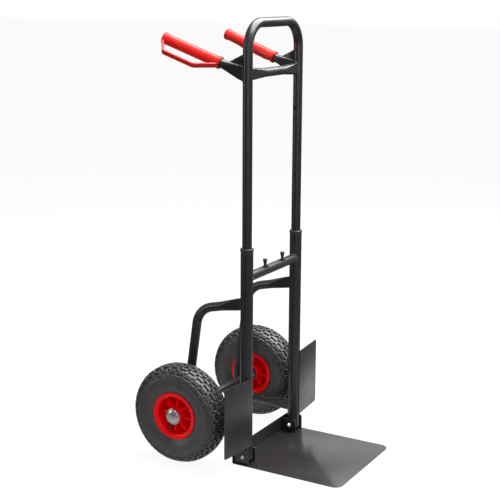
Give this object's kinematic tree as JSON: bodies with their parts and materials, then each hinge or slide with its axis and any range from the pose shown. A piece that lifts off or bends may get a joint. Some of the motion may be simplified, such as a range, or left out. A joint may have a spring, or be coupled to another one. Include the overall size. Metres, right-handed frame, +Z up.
{
  "type": "hand truck",
  "caption": "Two-wheel hand truck with a telescopic handle frame, rear grips with knuckle guards, wheel guards, a folding toe plate and air-filled tyres.",
  "frame": {"origin": "on the floor at the middle of the truck, in the plane of the uprights: the point of the toe plate's underside marked by the mount floor_face", "axes": "+Z up along the uprights, -Y the way the toe plate points, +X along the axle to the right-hand wheel"},
  "size_m": [0.5, 0.564, 1.1292],
  "materials": {
    "powder_coat": "satin charcoal powder coat on steel tube and sheet",
    "black_plastic": "moulded black plastic",
    "grip_plastic": "glossy moulded red plastic",
    "rim_plastic": "glossy moulded red plastic",
    "tyre_rubber": "block-tread black rubber",
    "tube_rubber": "black butyl rubber",
    "zinc_plate": "bright zinc-plated steel",
    "bare_steel": "plain oiled steel"
  },
  "bodies": {
    "frame": {"latch_tube": "powder_coat", "latch_stop": "black_plastic", "axle_tube": "powder_coat", "axle_rod": "zinc_plate", "left_outer_tube": "powder_coat", "right_outer_tube": "powder_coat", "left_collar": "black_plastic", "right_collar": "black_plastic", "left_side_tube": "powder_coat", "right_side_tube": "powder_coat", "left_wheel_guard": "powder_coat", "right_wheel_guard": "powder_coat", "left_inner_washer": "zinc_plate", "right_inner_washer": "zinc_plate", "left_outer_washer": "zinc_plate", "right_outer_washer": "zinc_plate", "left_hub_cap": "zinc_plate", "right_hub_cap": "zinc_plate", "left_hinge_bolt": "zinc_plate", "right_hinge_bolt": "zinc_plate", "left_hinge_nut": "zinc_plate", "right_hinge_nut": "zinc_plate"},
    "handle": {"upper_u_tube": "powder_coat", "handle_cross_tube": "powder_coat", "left_handle_tube": "powder_coat", "right_handle_tube": "powder_coat", "left_handle_gusset": "powder_coat", "right_handle_gusset": "powder_coat", "left_grip": "grip_plastic", "right_grip": "grip_plastic", "left_glide": "black_plastic", "right_glide": "black_plastic"},
    "toe": {"toe_plate": "powder_coat", "left_inner_ear": "powder_coat", "right_inner_ear": "powder_coat"},
    "left_latch": {"left_latch_pin": "bare_steel", "left_latch_knob": "black_plastic", "left_latch_spring": "bare_steel"},
    "right_latch": {"right_latch_pin": "bare_steel", "right_latch_knob": "black_plastic", "right_latch_spring": "bare_steel"},
    "left_wheel": {"left_tyre": "tyre_rubber", "left_inner_tube": "tube_rubber", "left_rim": "rim_plastic", "left_inner_bearing": "bare_steel", "left_outer_bearing": "bare_steel", "left_valve_cap": "black_plastic"},
    "right_wheel": {"right_tyre": "tyre_rubber", "right_inner_tube": "tube_rubber", "right_rim": "rim_plastic", "right_inner_bearing": "bare_steel", "right_outer_bearing": "bare_steel", "right_valve_cap": "black_plastic"}
  },
  "joints": [
    {"name": "handle_slide", "type": "slide", "parent": "frame", "child": "handle", "axis": [0, 0, 1], "range_m": [-0.4, 0]},
    {"name": "toe_plate_fold", "type": "hinge", "parent": "frame", "child": "toe", "pos_m": [0, 0.001, 0.0215], "axis": [-1, 0, 0], "range_deg": [0, 90]},
    {"name": "left_wheel_spin", "type": "hinge", "parent": "frame", "child": "left_wheel", "pos_m": [-0.197, 0.156, 0.13], "axis": [1, 0, 0], "continuous": true},
    {"name": "right_wheel_spin", "type": "hinge", "parent": "frame", "child": "right_wheel", "pos_m": [0.197, 0.156, 0.13], "axis": [1, 0, 0], "continuous": true},
    {"name": "left_latch_slide", "type": "slide", "parent": "frame", "child": "left_latch", "axis": [1, 0, 0], "range_m": [-0.004, 0.009], "stiffness_N_per_m": 300, "springref_m": -0.006, "deforming": ["left_latch_spring"]},
    {"name": "right_latch_slide", "type": "slide", "parent": "frame", "child": "right_latch", "axis": [-1, 0, 0], "range_m": [-0.004, 0.009], "stiffness_N_per_m": 300, "springref_m": -0.006, "deforming": ["right_latch_spring"]}
  ]
}
